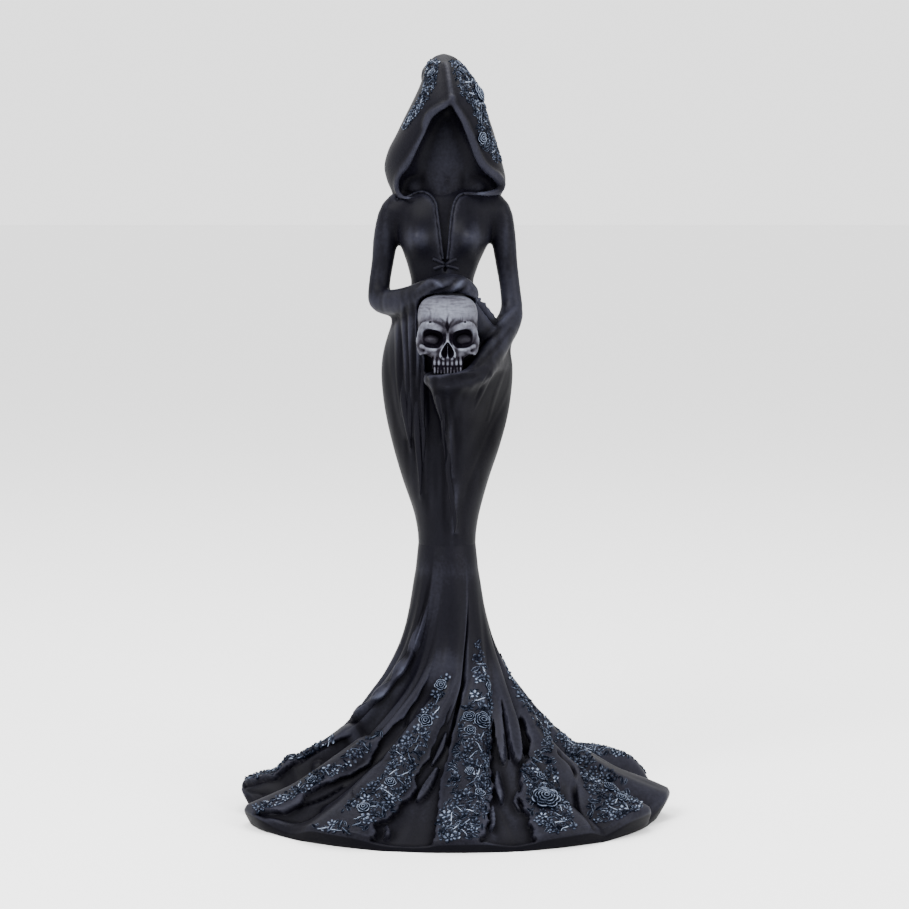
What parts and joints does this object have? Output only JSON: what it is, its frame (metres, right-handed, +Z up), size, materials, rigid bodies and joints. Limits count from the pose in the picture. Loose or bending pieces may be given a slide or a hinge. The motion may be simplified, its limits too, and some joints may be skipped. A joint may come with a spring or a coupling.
{
  "type": "hooded figurine",
  "caption": "Standing dark resin figurine of a faceless hooded figure in a long flared dress, holding a pale skull at the waist.",
  "frame": {"origin": "on the ground plane, below the middle of the figurine's overall box", "axes": "+Z up from the flat underside to the hood's tip, -Y towards the front, +X towards the viewer's right"},
  "size_m": [0.1711, 0.1306, 0.3],
  "materials": {
    "dark_resin": "satin black resin with blue-grey and pale blue dry-brushed highlights",
    "bone_resin": "matte pale grey resin with a dark wash in its hollows"
  },
  "bodies": {
    "root": {"figure": "dark_resin", "skull": "bone_resin"}
  },
  "joints": []
}
